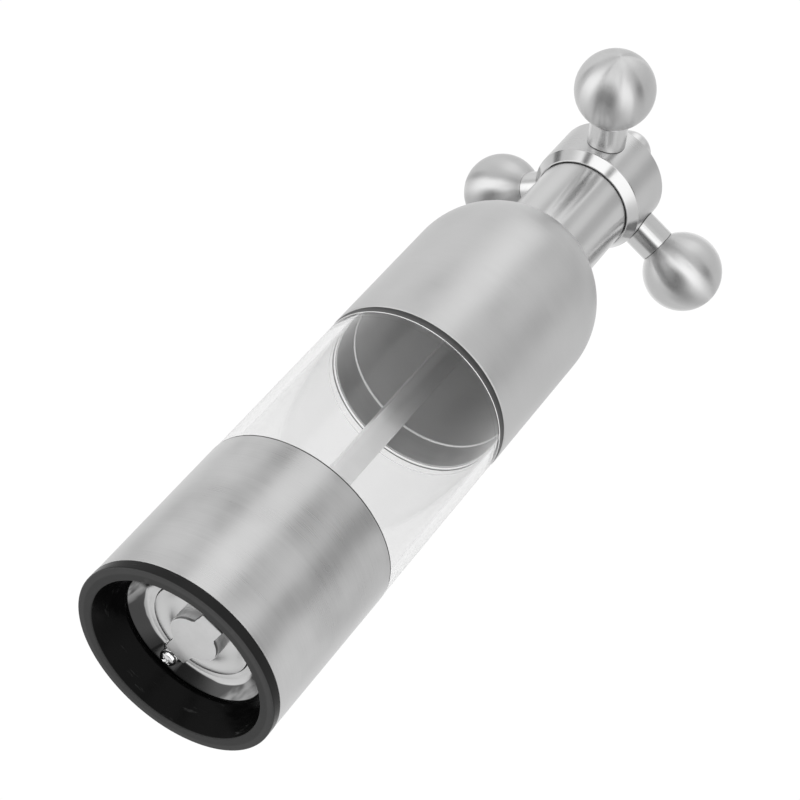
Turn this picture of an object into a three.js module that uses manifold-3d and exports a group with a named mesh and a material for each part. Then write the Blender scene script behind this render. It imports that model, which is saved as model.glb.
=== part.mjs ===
// A steel and acrylic pepper mill: a foot ring, a grinder, a clear pepper chamber, a bell-shaped
// cover with a neck, and a head with three balls that turns a square shaft.
// Millimetres, +Z up. The origin is where the mill's axis meets the surface it stands on, and +X
// runs through the first ball. Pieces that touch in the real mill are kept TOUCH apart.
import * as THREE from "three";
import { mergeVertices } from "three/addons/utils/BufferGeometryUtils.js";
import Module from "manifold-3d";

const wasm = await Module();
wasm.setup();

// ---- Driving dimensions ----

const TOUCH = 0.3; // gap kept between touching pieces
const OVERRUN = 1; // how far a cutting shape runs past what it cuts
const BIG_ROUND = 36; // sides of a large turned piece
const SMALL_ROUND = 24; // sides of a small turned piece
const TINY_ROUND = 12; // sides of a screw or a pin

const BODY_RADIUS = 25; // sleeve, tube and bell, flush with each other
const STEEL_WALL = 1;
const TUBE_RADIUS = 24.9;
const TUBE_BORE = 22.7;
const SPIGOT_RADIUS = 23.75; // whatever slides inside a steel shell

const FOOT_RADIUS = 25.08;
const FOOT_FLANGE_TOP = 2.63;
const FOOT_RIM_RADIUS = 21.74; // mouth of the bore
const FOOT_SHELF_RADIUS = 17.8; // inner edge of the shelf that the dish sits on
const FOOT_SHELF_TOP = 7.7;
const FOOT_CUP_RADIUS = 21;
const FOOT_TOP = 16;

const DISH_SHEET = 0.8;
const DISH_RIM_Z = FOOT_SHELF_TOP + TOUCH;
const DISH_FLAT_RADIUS = 14.3;
const DISH_FLAT_Z = 10;
const DISH_HOLE_RADIUS = 12.2;

const SCREW_RING_RADIUS = 14.9; // distance of the dish screws from the axis
const SCREW_ANGLES = [90, 270];
const SCREW_HEAD_RADIUS = 2.15;
const SCREW_HEAD_Z = 7.4; // crown of the head
const SCREW_SHOULDER_Z = 9;
const SCREW_SHANK_RADIUS = 1;
const SCREW_TIP_Z = 17;
const SCREW_SEAT_RADIUS = 2.5; // flat spot in the dish under each head

const HOUSING_BORE = 13.3; // pocket of the stator burr
const HOUSING_SHOULDER = 21.3; // top of that pocket
const HOUSING_THROAT = 9.5;
const HOUSING_THROAT_TOP = 24.3;
const HOUSING_SEAT = 34; // ledge of the shaft guide
const HOUSING_TOP = 38;
const SLEEVE_TOP = 46.3;

const ROTOR_FLANGE_RADIUS = 11.8;
const ROTOR_BOTTOM = 10.3;
const ROTOR_FLANGE_TOP = 11.4;
const ROTOR_TOP = 21;
const ROTOR_TIP_BOTTOM = 10.6; // radius over the rotor's teeth, just above its flange
const ROTOR_TIP_TOP = 7.6;
const ROTOR_TEETH = 14;
const STATOR_BOTTOM = 11.2;
const STATOR_TEETH_BOTTOM = 13;
const STATOR_RADIUS = 13.1;
const STATOR_TEETH = 20;
const TOOTH_DEPTH = 1.1;
const BURR_GAP = 0.65; // radial gap between the teeth at the coarsest setting
const BURR_TWIST = Math.PI / 5;

const PLATE_BOTTOM = 7;
const PLATE_TOP = 9.9;
const PLATE_RADIUS = 6.25;
const LUG_SPAN = 19.6;
const LUG_WIDTH = 5.6;
const LUG_THICKNESS = 1.3;

const SHAFT_ACROSS = 6; // square, across flats
const SOCKET_ACROSS = 6.4; // square holes that the shaft passes through
const SHAFT_BOTTOM = PLATE_TOP + TOUCH;
const SHAFT_SHOULDER = 194; // where the square gives way to the thread
const SHAFT_TOP = 208.5;
const THREAD_RADIUS = 2.5;

const GUIDE_RING_RADIUS = 21.6;
const GUIDE_HUB_RADIUS = 8;
const GUIDE_BORE_RADIUS = 5.9;
const GUIDE_BOTTOM = 31;
const GUIDE_TOP = 37;
const BUSH_RADIUS = 5.7;
const BUSH_FLANGE_RADIUS = 7.4;
const BUSH_FLANGE_BOTTOM = 29.9;

const SPRING_RADIUS = 5.6; // to the middle of the wire
const SPRING_WIRE_RADIUS = 0.45;
const SPRING_TURNS = 4;

const TUBE_TOP = 105.5;
const BELL_BOTTOM = 97.1;
const DOME_CENTRE = 137; // height of the centre of the bell's round shoulder
const NECK_RADIUS = 12.75;
const NECK_BORE = 11.3;
const NECK_TOP = 183;
const NECK_BUSH_RADIUS = 11;
const NECK_BUSH_BOTTOM = 156;
const NECK_BUSH_THROAT = 176;
const NECK_BUSH_TOP = 184.6;

const HUB_BOTTOM = 182.4;
const HUB_TOP = 199;
const HUB_RADIUS = 15.2;
const HUB_LIP_RADIUS = 13.05; // recess that runs round the neck
const HUB_LIP_HEIGHT = 2.8;
const HUB_CORE_RADIUS = 8; // pocket of the drive insert
const HUB_CORE_TOP = 196.2;

const BALL_COUNT = 3;
const BALL_RADIUS = 10.45;
const BALL_DISTANCE = 31.6; // ball centre to the axis
const HANDLE_Z = 192;
const STUD_RADIUS = 5;
const PIN_RADIUS = 2.5;
const PIN_START = 10; // inner and outer ends of a stud's threaded pins, from the axis
const PIN_END = 27;

const KNOB_RADIUS = 5.6;
const KNOB_SIDE_TOP = 211.2;
const KNOB_TOP = 214.8;
const KNOB_BORE_TOP = 211;

// ---- Materials ----

function finish(color, roughness, metalness, extra = {}) {
  return new THREE.MeshStandardMaterial({ color, roughness, metalness, ...extra });
}

const brushedSteel = () => finish(0xb9b9b8, 0.36, 1);
const polishedSteel = () => finish(0xd0d0cf, 0.15, 1);
const burrSteel = () => finish(0xa8a8a6, 0.3, 1);
const blackPlastic = () => finish(0x1b1b1b, 0.4, 0);
const greyPlastic = () => finish(0x8c8c8a, 0.5, 0);
const clearAcrylic = () => finish(0xf4f4f4, 0.04, 0, { transparent: true, opacity: 0.3 });

// ---- Helpers ----

// Turns a profile of [radius, z] points round the Z axis. A profile that doesn't begin and end on
// the axis is closed on itself.
function turned(profile, sides = BIG_ROUND) {
  const points = profile.map(([radius, z]) => new THREE.Vector2(radius, z));
  const onAxis = points[0].x === 0 && points.at(-1).x === 0;
  if (THREE.ShapeUtils.area(points) < 0) points.reverse();
  if (!onAxis) points.push(points[0].clone());
  return new THREE.LatheGeometry(points, sides).rotateX(Math.PI / 2);
}

// Profile points along a circle, from one angle to another in degrees, counted from the radius axis.
function arc(radius, centreZ, fromDegrees, toDegrees, steps) {
  return Array.from({ length: steps + 1 }, (_, step) => {
    const angle = THREE.MathUtils.degToRad(fromDegrees + ((toDegrees - fromDegrees) * step) / steps);
    return [radius * Math.cos(angle), centreZ + radius * Math.sin(angle)];
  });
}

function rod(radius, bottom, top, sides = SMALL_ROUND) {
  return new THREE.CylinderGeometry(radius, radius, top - bottom, sides)
    .rotateX(Math.PI / 2)
    .translate(0, 0, (bottom + top) / 2);
}

// A rod along +X at the height of the ball handle.
function crossRod(radius, start, end, sides = SMALL_ROUND) {
  return new THREE.CylinderGeometry(radius, radius, end - start, sides)
    .rotateZ(Math.PI / 2)
    .translate((start + end) / 2, 0, HANDLE_Z);
}

function block(width, depth, bottom, top) {
  return new THREE.BoxGeometry(width, depth, top - bottom).translate(0, 0, (bottom + top) / 2);
}

function solid(geometry) {
  const bare = geometry.clone();
  bare.deleteAttribute("normal");
  bare.deleteAttribute("uv");
  const merged = mergeVertices(bare, 1e-4);
  return new wasm.Manifold(
    new wasm.Mesh({
      numProp: 3,
      vertProperties: merged.attributes.position.array,
      triVerts: new Uint32Array(merged.index.array),
    }),
  );
}

function geometryOf(shape) {
  const mesh = shape.getMesh();
  return new THREE.BufferGeometry()
    .setAttribute("position", new THREE.BufferAttribute(new Float32Array(mesh.vertProperties), 3))
    .setIndex(new THREE.BufferAttribute(new Uint32Array(mesh.triVerts), 1));
}

// A geometry with others joined to it and then others cut from it.
function made(base, { joined = [], cut = [] }) {
  let shape = solid(base);
  for (const piece of joined) shape = shape.add(solid(piece));
  for (const piece of cut) shape = shape.subtract(solid(piece));
  return geometryOf(shape);
}

// A twisted cone with slanted saw teeth. The tips are tipBottom from the axis at the bottom and
// tipTop at the top.
function toothedCone({ bottom, top, tipBottom, tipTop, teeth }) {
  const pitch = (2 * Math.PI) / teeth;
  const corners = [];
  for (let tooth = 0; tooth < teeth; tooth++) {
    corners.push([tooth * pitch, tipBottom]);
    corners.push([(tooth + 0.25) * pitch, tipBottom]);
    corners.push([(tooth + 0.9) * pitch, tipBottom - TOOTH_DEPTH]);
  }
  const outline = new THREE.Shape(
    corners.map(([angle, radius]) => new THREE.Vector2(radius * Math.cos(angle), radius * Math.sin(angle))),
  );
  const height = top - bottom;
  const cone = new THREE.ExtrudeGeometry(outline, { depth: height, steps: 4, bevelEnabled: false });
  const place = cone.attributes.position;
  const corner = new THREE.Vector3();
  const axis = new THREE.Vector3(0, 0, 1);
  for (let i = 0; i < place.count; i++) {
    corner.fromBufferAttribute(place, i);
    const share = corner.z / height;
    const scale = THREE.MathUtils.lerp(1, tipTop / tipBottom, share);
    corner.set(corner.x * scale, corner.y * scale, corner.z + bottom);
    corner.applyAxisAngle(axis, BURR_TWIST * share);
    place.setXYZ(i, corner.x, corner.y, corner.z);
  }
  return cone;
}

// Radius over the rotor's teeth at a height, carried on past its ends.
function rotorTip(z) {
  const share = (z - ROTOR_FLANGE_TOP) / (ROTOR_TOP - ROTOR_FLANGE_TOP);
  return THREE.MathUtils.lerp(ROTOR_TIP_BOTTOM, ROTOR_TIP_TOP, share);
}

// One copy of a shape at each dish screw's place.
function atScrews(build) {
  return SCREW_ANGLES.map((degrees) => {
    const angle = THREE.MathUtils.degToRad(degrees);
    return build().translate(SCREW_RING_RADIUS * Math.cos(angle), SCREW_RING_RADIUS * Math.sin(angle), 0);
  });
}

// ---- Foot and grinder ----

function footRing() {
  const edge = 0.45;
  return turned([
    [FOOT_RIM_RADIUS, 0],
    [FOOT_RADIUS - edge, 0],
    [FOOT_RADIUS, edge],
    [FOOT_RADIUS, FOOT_FLANGE_TOP],
    [SPIGOT_RADIUS, FOOT_FLANGE_TOP],
    [SPIGOT_RADIUS, FOOT_TOP],
    [FOOT_CUP_RADIUS, FOOT_TOP],
    [FOOT_CUP_RADIUS, FOOT_SHELF_TOP],
    [FOOT_SHELF_RADIUS, FOOT_SHELF_TOP],
    [FOOT_SHELF_RADIUS, FOOT_SHELF_TOP - 0.6],
  ]);
}

function lowerSleeve() {
  return turned([
    [BODY_RADIUS, FOOT_FLANGE_TOP + TOUCH],
    [BODY_RADIUS, SLEEVE_TOP],
    [BODY_RADIUS - STEEL_WALL, SLEEVE_TOP],
    [BODY_RADIUS - STEEL_WALL, FOOT_FLANGE_TOP + TOUCH],
  ]);
}

function retainerDish() {
  const lip = 0.25;
  const sheet = turned([
    [FOOT_CUP_RADIUS - TOUCH, DISH_RIM_Z],
    [FOOT_CUP_RADIUS - TOUCH, DISH_RIM_Z + DISH_SHEET],
    [FOOT_SHELF_RADIUS, DISH_RIM_Z + DISH_SHEET],
    [DISH_FLAT_RADIUS, DISH_FLAT_Z + DISH_SHEET],
    [DISH_HOLE_RADIUS, DISH_FLAT_Z + DISH_SHEET],
    [DISH_HOLE_RADIUS, DISH_FLAT_Z - lip],
    [DISH_HOLE_RADIUS + lip, DISH_FLAT_Z - lip],
    [DISH_HOLE_RADIUS + 2 * lip, DISH_FLAT_Z],
    [DISH_FLAT_RADIUS, DISH_FLAT_Z],
    [FOOT_SHELF_RADIUS, DISH_RIM_Z],
  ]);
  const seatZ = SCREW_SHOULDER_Z + TOUCH;
  const seat = () => rod(SCREW_SEAT_RADIUS, seatZ, DISH_FLAT_Z + DISH_SHEET, TINY_ROUND);
  const pocket = () => rod(SCREW_SEAT_RADIUS, DISH_RIM_Z - OVERRUN, seatZ, TINY_ROUND);
  const hole = () => rod(SCREW_SHANK_RADIUS + TOUCH, seatZ - OVERRUN, SCREW_TIP_Z, TINY_ROUND);
  return made(sheet, { joined: atScrews(seat), cut: [...atScrews(pocket), ...atScrews(hole)] });
}

function dishScrew() {
  const body = turned(
    [
      [0, SCREW_HEAD_Z],
      [0.5 * SCREW_HEAD_RADIUS, SCREW_HEAD_Z + 0.12],
      [0.85 * SCREW_HEAD_RADIUS, SCREW_HEAD_Z + 0.5],
      [SCREW_HEAD_RADIUS, SCREW_HEAD_Z + 1.1],
      [SCREW_HEAD_RADIUS, SCREW_SHOULDER_Z],
      [SCREW_SHANK_RADIUS, SCREW_SHOULDER_Z],
      [SCREW_SHANK_RADIUS, SCREW_TIP_Z - SCREW_SHANK_RADIUS],
      [0, SCREW_TIP_Z],
    ],
    TINY_ROUND,
  );
  const slotLength = 2.6;
  const slotWidth = 0.55;
  const slotTop = SCREW_HEAD_Z + 0.9;
  const slots = [
    block(slotLength, slotWidth, SCREW_HEAD_Z - OVERRUN, slotTop),
    block(slotWidth, slotLength, SCREW_HEAD_Z - OVERRUN, slotTop),
  ];
  return made(body, { cut: slots });
}

function burrHousing() {
  const dishTop = DISH_FLAT_Z + DISH_SHEET;
  const rimTop = DISH_RIM_Z + DISH_SHEET;
  const mouth = GUIDE_RING_RADIUS + TOUCH;
  const ledge = 1.5;
  const shell = turned([
    [HOUSING_BORE, dishTop + TOUCH],
    [DISH_FLAT_RADIUS + TOUCH, dishTop + TOUCH],
    [FOOT_SHELF_RADIUS + TOUCH, rimTop + TOUCH],
    [FOOT_CUP_RADIUS - TOUCH, rimTop + TOUCH],
    [FOOT_CUP_RADIUS - TOUCH, FOOT_TOP + TOUCH],
    [SPIGOT_RADIUS, FOOT_TOP + TOUCH],
    [SPIGOT_RADIUS, HOUSING_TOP],
    [mouth, HOUSING_TOP],
    [mouth, HOUSING_SEAT],
    [mouth - ledge, HOUSING_SEAT],
    [HOUSING_THROAT, HOUSING_THROAT_TOP],
    [HOUSING_THROAT, HOUSING_SHOULDER],
    [HOUSING_BORE, HOUSING_SHOULDER],
  ]);
  const hole = () => rod(SCREW_SHANK_RADIUS + 0.2, rimTop, SCREW_TIP_Z + TOUCH, TINY_ROUND);
  const seat = () => rod(SCREW_SEAT_RADIUS + TOUCH, rimTop, dishTop + TOUCH, TINY_ROUND);
  return made(shell, { cut: [...atScrews(seat), ...atScrews(hole)] });
}

function statorBurr() {
  const skirtBore = ROTOR_FLANGE_RADIUS + 0.5;
  const blank = turned([
    [skirtBore, STATOR_BOTTOM],
    [STATOR_RADIUS, STATOR_BOTTOM],
    [STATOR_RADIUS, ROTOR_TOP],
    [ROTOR_TIP_TOP - TOOTH_DEPTH, ROTOR_TOP],
    [ROTOR_TIP_TOP - TOOTH_DEPTH, STATOR_TEETH_BOTTOM],
    [skirtBore, STATOR_TEETH_BOTTOM],
  ]);
  const bottom = STATOR_TEETH_BOTTOM - OVERRUN;
  const top = ROTOR_TOP + OVERRUN;
  const reach = BURR_GAP + TOOTH_DEPTH;
  const grooves = toothedCone({
    bottom,
    top,
    tipBottom: rotorTip(bottom) + reach,
    tipTop: rotorTip(top) + reach,
    teeth: STATOR_TEETH,
  });
  return made(blank, { cut: [grooves] });
}

function rotorBurr() {
  const bowlDepth = 0.5;
  const flange = turned([
    [0, ROTOR_BOTTOM],
    [PLATE_RADIUS, ROTOR_BOTTOM],
    [PLATE_RADIUS + 2, ROTOR_BOTTOM + bowlDepth],
    [ROTOR_FLANGE_RADIUS - 1.6, ROTOR_BOTTOM + bowlDepth],
    [ROTOR_FLANGE_RADIUS, ROTOR_BOTTOM],
    [ROTOR_FLANGE_RADIUS, ROTOR_FLANGE_TOP],
    [0, ROTOR_FLANGE_TOP],
  ]);
  const bite = 0.1; // how far the cone sinks into the flange
  const cone = toothedCone({
    bottom: ROTOR_FLANGE_TOP - bite,
    top: ROTOR_TOP,
    tipBottom: ROTOR_TIP_BOTTOM,
    tipTop: ROTOR_TIP_TOP,
    teeth: ROTOR_TEETH,
  });
  const socket = block(SOCKET_ACROSS, SOCKET_ACROSS, ROTOR_BOTTOM - OVERRUN, ROTOR_TOP + OVERRUN);
  return made(flange, { joined: [cone], cut: [socket] });
}

function footPlate() {
  const disc = rod(PLATE_RADIUS, PLATE_BOTTOM, PLATE_TOP);
  const lugs = block(LUG_WIDTH, LUG_SPAN, PLATE_BOTTOM, PLATE_BOTTOM + LUG_THICKNESS);
  return made(disc, { joined: [lugs] });
}

function driveShaft() {
  const square = block(SHAFT_ACROSS, SHAFT_ACROSS, SHAFT_BOTTOM, SHAFT_SHOULDER);
  const thread = rod(THREAD_RADIUS, SHAFT_SHOULDER - OVERRUN, SHAFT_TOP, TINY_ROUND);
  return made(square, { joined: [thread] });
}

function shaftGuide() {
  const rimWidth = 1.6;
  const armWidth = 3;
  const armTop = HOUSING_SEAT + TOUCH + 2;
  const rim = turned([
    [GUIDE_RING_RADIUS, HOUSING_SEAT + TOUCH],
    [GUIDE_RING_RADIUS, GUIDE_TOP],
    [GUIDE_RING_RADIUS - rimWidth, GUIDE_TOP],
    [GUIDE_RING_RADIUS - rimWidth, HOUSING_SEAT + TOUCH],
  ]);
  const armStart = GUIDE_BORE_RADIUS + OVERRUN;
  const armEnd = GUIDE_RING_RADIUS - rimWidth / 2;
  const arms = Array.from({ length: 3 }, (_, arm) =>
    block(armEnd - armStart, armWidth, HOUSING_SEAT + TOUCH, armTop)
      .translate((armStart + armEnd) / 2, 0, 0)
      .rotateZ(THREE.MathUtils.degToRad(60 + 120 * arm)),
  );
  const hub = rod(GUIDE_HUB_RADIUS, GUIDE_BOTTOM, GUIDE_TOP);
  const bore = rod(GUIDE_BORE_RADIUS, GUIDE_BOTTOM - OVERRUN, GUIDE_TOP + OVERRUN);
  return made(rim, { joined: [...arms, hub], cut: [bore] });
}

function guideBush() {
  const flange = rod(BUSH_FLANGE_RADIUS, BUSH_FLANGE_BOTTOM, GUIDE_BOTTOM - TOUCH);
  const sleeve = rod(BUSH_RADIUS, BUSH_FLANGE_BOTTOM, GUIDE_TOP);
  const socket = block(SOCKET_ACROSS, SOCKET_ACROSS, BUSH_FLANGE_BOTTOM - OVERRUN, GUIDE_TOP + OVERRUN);
  return made(flange, { joined: [sleeve], cut: [socket] });
}

class Helix extends THREE.Curve {
  constructor(radius, bottom, top, turns) {
    super();
    Object.assign(this, { radius, bottom, top, turns });
  }

  getPoint(share, target = new THREE.Vector3()) {
    const angle = 2 * Math.PI * this.turns * share;
    const z = THREE.MathUtils.lerp(this.bottom, this.top, share);
    return target.set(this.radius * Math.cos(angle), this.radius * Math.sin(angle), z);
  }
}

function burrSpring() {
  const inset = SPRING_WIRE_RADIUS + TOUCH;
  const path = new Helix(SPRING_RADIUS, ROTOR_TOP + inset, BUSH_FLANGE_BOTTOM - inset, SPRING_TURNS);
  const wire = new THREE.Shape().absarc(0, 0, SPRING_WIRE_RADIUS, 0, 2 * Math.PI);
  return new THREE.ExtrudeGeometry(wire, {
    extrudePath: path,
    steps: SPRING_TURNS * 12,
    curveSegments: 3,
    bevelEnabled: false,
  });
}

// ---- Pepper chamber ----

function clearTube() {
  return turned([
    [TUBE_BORE, HOUSING_TOP + TOUCH],
    [SPIGOT_RADIUS, HOUSING_TOP + TOUCH],
    [SPIGOT_RADIUS, SLEEVE_TOP + TOUCH],
    [TUBE_RADIUS, SLEEVE_TOP + TOUCH],
    [TUBE_RADIUS, BELL_BOTTOM - TOUCH],
    [SPIGOT_RADIUS, BELL_BOTTOM - TOUCH],
    [SPIGOT_RADIUS, TUBE_TOP],
    [TUBE_BORE, TUBE_TOP],
  ]);
}

// ---- Bell and neck ----

// The angle, in degrees, at which a dome of a given radius reaches the neck's bore.
const domeEnd = (radius) => THREE.MathUtils.radToDeg(Math.acos(NECK_BORE / radius));

function bell() {
  const inner = BODY_RADIUS - STEEL_WALL;
  return turned([
    [BODY_RADIUS, BELL_BOTTOM],
    ...arc(BODY_RADIUS, DOME_CENTRE, 0, domeEnd(BODY_RADIUS), 6),
    ...arc(inner, DOME_CENTRE, domeEnd(inner), 0, 5),
    [inner, BELL_BOTTOM],
  ]);
}

function neck() {
  const tube = turned(
    [
      [NECK_RADIUS, DOME_CENTRE + NECK_RADIUS],
      [NECK_RADIUS, NECK_TOP],
      [NECK_BORE, NECK_TOP],
      [NECK_BORE, DOME_CENTRE + NECK_RADIUS],
    ],
    BIG_ROUND,
  );
  const clearDome = turned(
    [[0, DOME_CENTRE - BODY_RADIUS], ...arc(BODY_RADIUS + TOUCH, DOME_CENTRE, -60, 90, 18).slice(0, -1),
      [0, DOME_CENTRE + BODY_RADIUS + TOUCH]],
  );
  return made(tube, { cut: [clearDome] });
}

function neckBush() {
  const bore = 4.9;
  const wall = 1.5;
  return turned(
    [
      [NECK_BUSH_RADIUS, NECK_BUSH_BOTTOM],
      [NECK_BUSH_RADIUS, NECK_TOP + TOUCH],
      [NECK_RADIUS, NECK_TOP + TOUCH],
      [NECK_RADIUS, NECK_BUSH_TOP],
      [bore, NECK_BUSH_TOP],
      [bore, NECK_BUSH_THROAT],
      [NECK_BUSH_RADIUS - wall, NECK_BUSH_THROAT],
      [NECK_BUSH_RADIUS - wall, NECK_BUSH_BOTTOM],
    ],
    SMALL_ROUND,
  );
}

// ---- Turning head ----

function hub() {
  const edge = 0.35;
  const recessTop = NECK_BUSH_TOP + TOUCH;
  const blank = turned([
    [HUB_LIP_RADIUS, HUB_BOTTOM],
    [HUB_LIP_RADIUS + 0.2, HUB_BOTTOM],
    [HUB_RADIUS, HUB_BOTTOM + HUB_LIP_HEIGHT],
    [HUB_RADIUS, HUB_TOP - edge],
    [HUB_RADIUS - edge, HUB_TOP],
    [THREAD_RADIUS + 0.5, HUB_TOP],
    [THREAD_RADIUS + 0.5, HUB_CORE_TOP],
    [HUB_CORE_RADIUS, HUB_CORE_TOP],
    [HUB_CORE_RADIUS, recessTop],
    [HUB_LIP_RADIUS, recessTop],
  ]);
  const hole = crossRod(PIN_RADIUS + TOUCH, PIN_START - TOUCH, HUB_RADIUS + OVERRUN, TINY_ROUND);
  return made(blank, { cut: aroundHead(() => hole.clone()) });
}

// One copy of a shape made along +X for each ball.
function aroundHead(build) {
  return Array.from({ length: BALL_COUNT }, (_, i) => build().rotateZ((2 * Math.PI * i) / BALL_COUNT));
}

function driveInsert() {
  const bottom = NECK_BUSH_TOP + 2 * TOUCH;
  const top = HUB_CORE_TOP - TOUCH;
  const disc = rod(HUB_CORE_RADIUS - TOUCH, bottom, top);
  return made(disc, { cut: [block(SOCKET_ACROSS, SOCKET_ACROSS, bottom - OVERRUN, top + OVERRUN)] });
}

function stud() {
  const collar = crossRod(STUD_RADIUS, PIN_START, PIN_END);
  const pin = crossRod(PIN_RADIUS, PIN_START, PIN_END, TINY_ROUND);
  const hubSide = rod(HUB_RADIUS + TOUCH, HUB_BOTTOM, HUB_TOP, BIG_ROUND);
  const ballSide = new THREE.SphereGeometry(BALL_RADIUS + TOUCH, 24, 14);
  ballSide.translate(BALL_DISTANCE, 0, HANDLE_Z);
  const trimmed = made(collar, { cut: [hubSide, ballSide] });
  return made(trimmed, { joined: [pin] });
}

function ball() {
  const sphere = new THREE.SphereGeometry(BALL_RADIUS, 24, 14).translate(BALL_DISTANCE, 0, HANDLE_Z);
  const hole = crossRod(PIN_RADIUS + TOUCH, BALL_DISTANCE - BALL_RADIUS - OVERRUN, PIN_END + TOUCH, TINY_ROUND);
  return made(sphere, { cut: [hole] });
}

function knob() {
  const bore = THREAD_RADIUS + TOUCH;
  const bottom = HUB_TOP + TOUCH;
  const edge = 0.3;
  const rise = KNOB_TOP - KNOB_SIDE_TOP;
  const domeRadius = (KNOB_RADIUS ** 2 + rise ** 2) / (2 * rise);
  const domeStart = THREE.MathUtils.radToDeg(Math.acos(KNOB_RADIUS / domeRadius));
  return turned(
    [
      [0, KNOB_BORE_TOP],
      [bore, KNOB_BORE_TOP],
      [bore, bottom],
      [KNOB_RADIUS - edge, bottom],
      [KNOB_RADIUS, bottom + edge],
      ...arc(domeRadius, KNOB_TOP - domeRadius, domeStart, 90, 5).slice(0, -1),
      [0, KNOB_TOP],
    ],
    SMALL_ROUND,
  );
}

// ---- Assembly ----

const base = new THREE.Group();
add("foot_ring", footRing(), blackPlastic(), base);
add("lower_sleeve", lowerSleeve(), brushedSteel(), base);
add("retainer_dish", retainerDish(), polishedSteel(), base);
atScrews(dishScrew).forEach((screw, i) => add(`dish_screw_${i + 1}`, screw, polishedSteel(), base));
add("burr_housing", burrHousing(), blackPlastic(), base);
add("stator_burr", statorBurr(), burrSteel(), base);
add("shaft_guide", shaftGuide(), blackPlastic(), base);
add("clear_tube", clearTube(), clearAcrylic(), base);

const spindle = new THREE.Group();
add("drive_shaft", driveShaft(), brushedSteel(), spindle);
add("rotor_burr", rotorBurr(), polishedSteel(), spindle);
add("foot_plate", footPlate(), brushedSteel(), spindle);
add("burr_spring", burrSpring(), burrSteel(), spindle);
add("guide_bush", guideBush(), greyPlastic(), spindle);

const cover = new THREE.Group();
add("bell", bell(), brushedSteel(), cover);
add("neck", neck(), brushedSteel(), cover);
add("neck_bush", neckBush(), greyPlastic(), cover);

const head = new THREE.Group();
add("hub", hub(), brushedSteel(), head);
add("drive_insert", driveInsert(), burrSteel(), head);
aroundHead(stud).forEach((piece, i) => add(`stud_${i + 1}`, piece, brushedSteel(), head));
aroundHead(ball).forEach((piece, i) => add(`ball_${i + 1}`, piece, brushedSteel(), head));
add("knob", knob(), polishedSteel(), head);

function add(name, geometry, material, parent) {
  const mesh = new THREE.Mesh(geometry, material);
  mesh.name = name;
  parent.add(mesh);
}

const group = new THREE.Group().add(base, spindle, cover, head);

export default group;
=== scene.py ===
"""The looks of the pepper mill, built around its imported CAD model.

Every shell is turned again as a fine, smooth mesh with rounded edges, and every piece gets its
metal, plastic or acrylic from nodes. Lengths in the profiles are millimetres; to_metres() turns
them into the frame's metres. Z runs up the mill's axis from the surface it stands on.
"""

import math

import bmesh
import bpy
from mathutils import Matrix, Vector


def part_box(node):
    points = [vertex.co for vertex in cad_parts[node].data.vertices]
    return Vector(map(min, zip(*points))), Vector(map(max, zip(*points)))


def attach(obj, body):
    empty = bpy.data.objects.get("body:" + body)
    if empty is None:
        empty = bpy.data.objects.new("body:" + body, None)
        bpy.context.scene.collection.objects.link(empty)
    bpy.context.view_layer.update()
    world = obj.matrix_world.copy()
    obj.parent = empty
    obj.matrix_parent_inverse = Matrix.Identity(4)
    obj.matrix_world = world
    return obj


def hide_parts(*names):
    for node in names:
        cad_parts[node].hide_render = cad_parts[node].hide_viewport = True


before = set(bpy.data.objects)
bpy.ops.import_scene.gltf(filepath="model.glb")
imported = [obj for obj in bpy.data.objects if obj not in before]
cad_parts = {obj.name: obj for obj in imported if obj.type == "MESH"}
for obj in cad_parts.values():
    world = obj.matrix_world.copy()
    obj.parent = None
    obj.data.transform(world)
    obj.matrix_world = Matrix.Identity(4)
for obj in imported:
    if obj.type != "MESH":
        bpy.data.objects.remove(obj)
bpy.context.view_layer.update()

MM = 0.001


def span(node):
    """A CAD node's outer radius or half width along X, its bottom and its top, in millimetres."""
    low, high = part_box(node)
    return high.x / MM, low.z / MM, high.z / MM


# ---- Sizes, in millimetres ----

BODY_RADIUS, _, SLEEVE_TOP = span("lower_sleeve")
FOOT_RADIUS, FOOT_BOTTOM, FOOT_TOP = span("foot_ring")
TUBE_RADIUS, TUBE_BOTTOM, TUBE_TOP = span("clear_tube")
_, BELL_BOTTOM, _ = span("bell")
NECK_RADIUS, _, NECK_TOP = span("neck")
_, BUSH_BOTTOM, BUSH_TOP = span("neck_bush")
HUB_RADIUS, HUB_BOTTOM, HUB_TOP = span("hub")
KNOB_RADIUS, KNOB_BOTTOM, KNOB_TOP = span("knob")
SHAFT_HALF, SHAFT_BOTTOM, SHAFT_TOP = span("drive_shaft")
PLATE_RADIUS, PLATE_BOTTOM, _ = span("foot_plate")
ROTOR_RADIUS, ROTOR_BOTTOM, ROTOR_TOP = span("rotor_burr")
DISH_RADIUS, DISH_BOTTOM, _ = span("retainer_dish")
SCREW_RADIUS, SCREW_BOTTOM, SCREW_TIP = span("dish_screw_1")
HOUSING_RADIUS, _, HOUSING_TOP = span("burr_housing")
GUIDE_RADIUS, GUIDE_BOTTOM, GUIDE_TOP = span("shaft_guide")
BALL_LOW, BALL_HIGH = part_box("ball_1")
BALL_RADIUS = (BALL_HIGH.z - BALL_LOW.z) / 2 / MM
BALL_DISTANCE = BALL_HIGH.x / MM - BALL_RADIUS
HANDLE_Z = (BALL_HIGH.z + BALL_LOW.z) / 2 / MM
STUD_RADIUS = (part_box("stud_1")[1].y) / MM
SCREW_RING = (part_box("dish_screw_1")[0].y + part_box("dish_screw_1")[1].y) / 2 / MM

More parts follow.
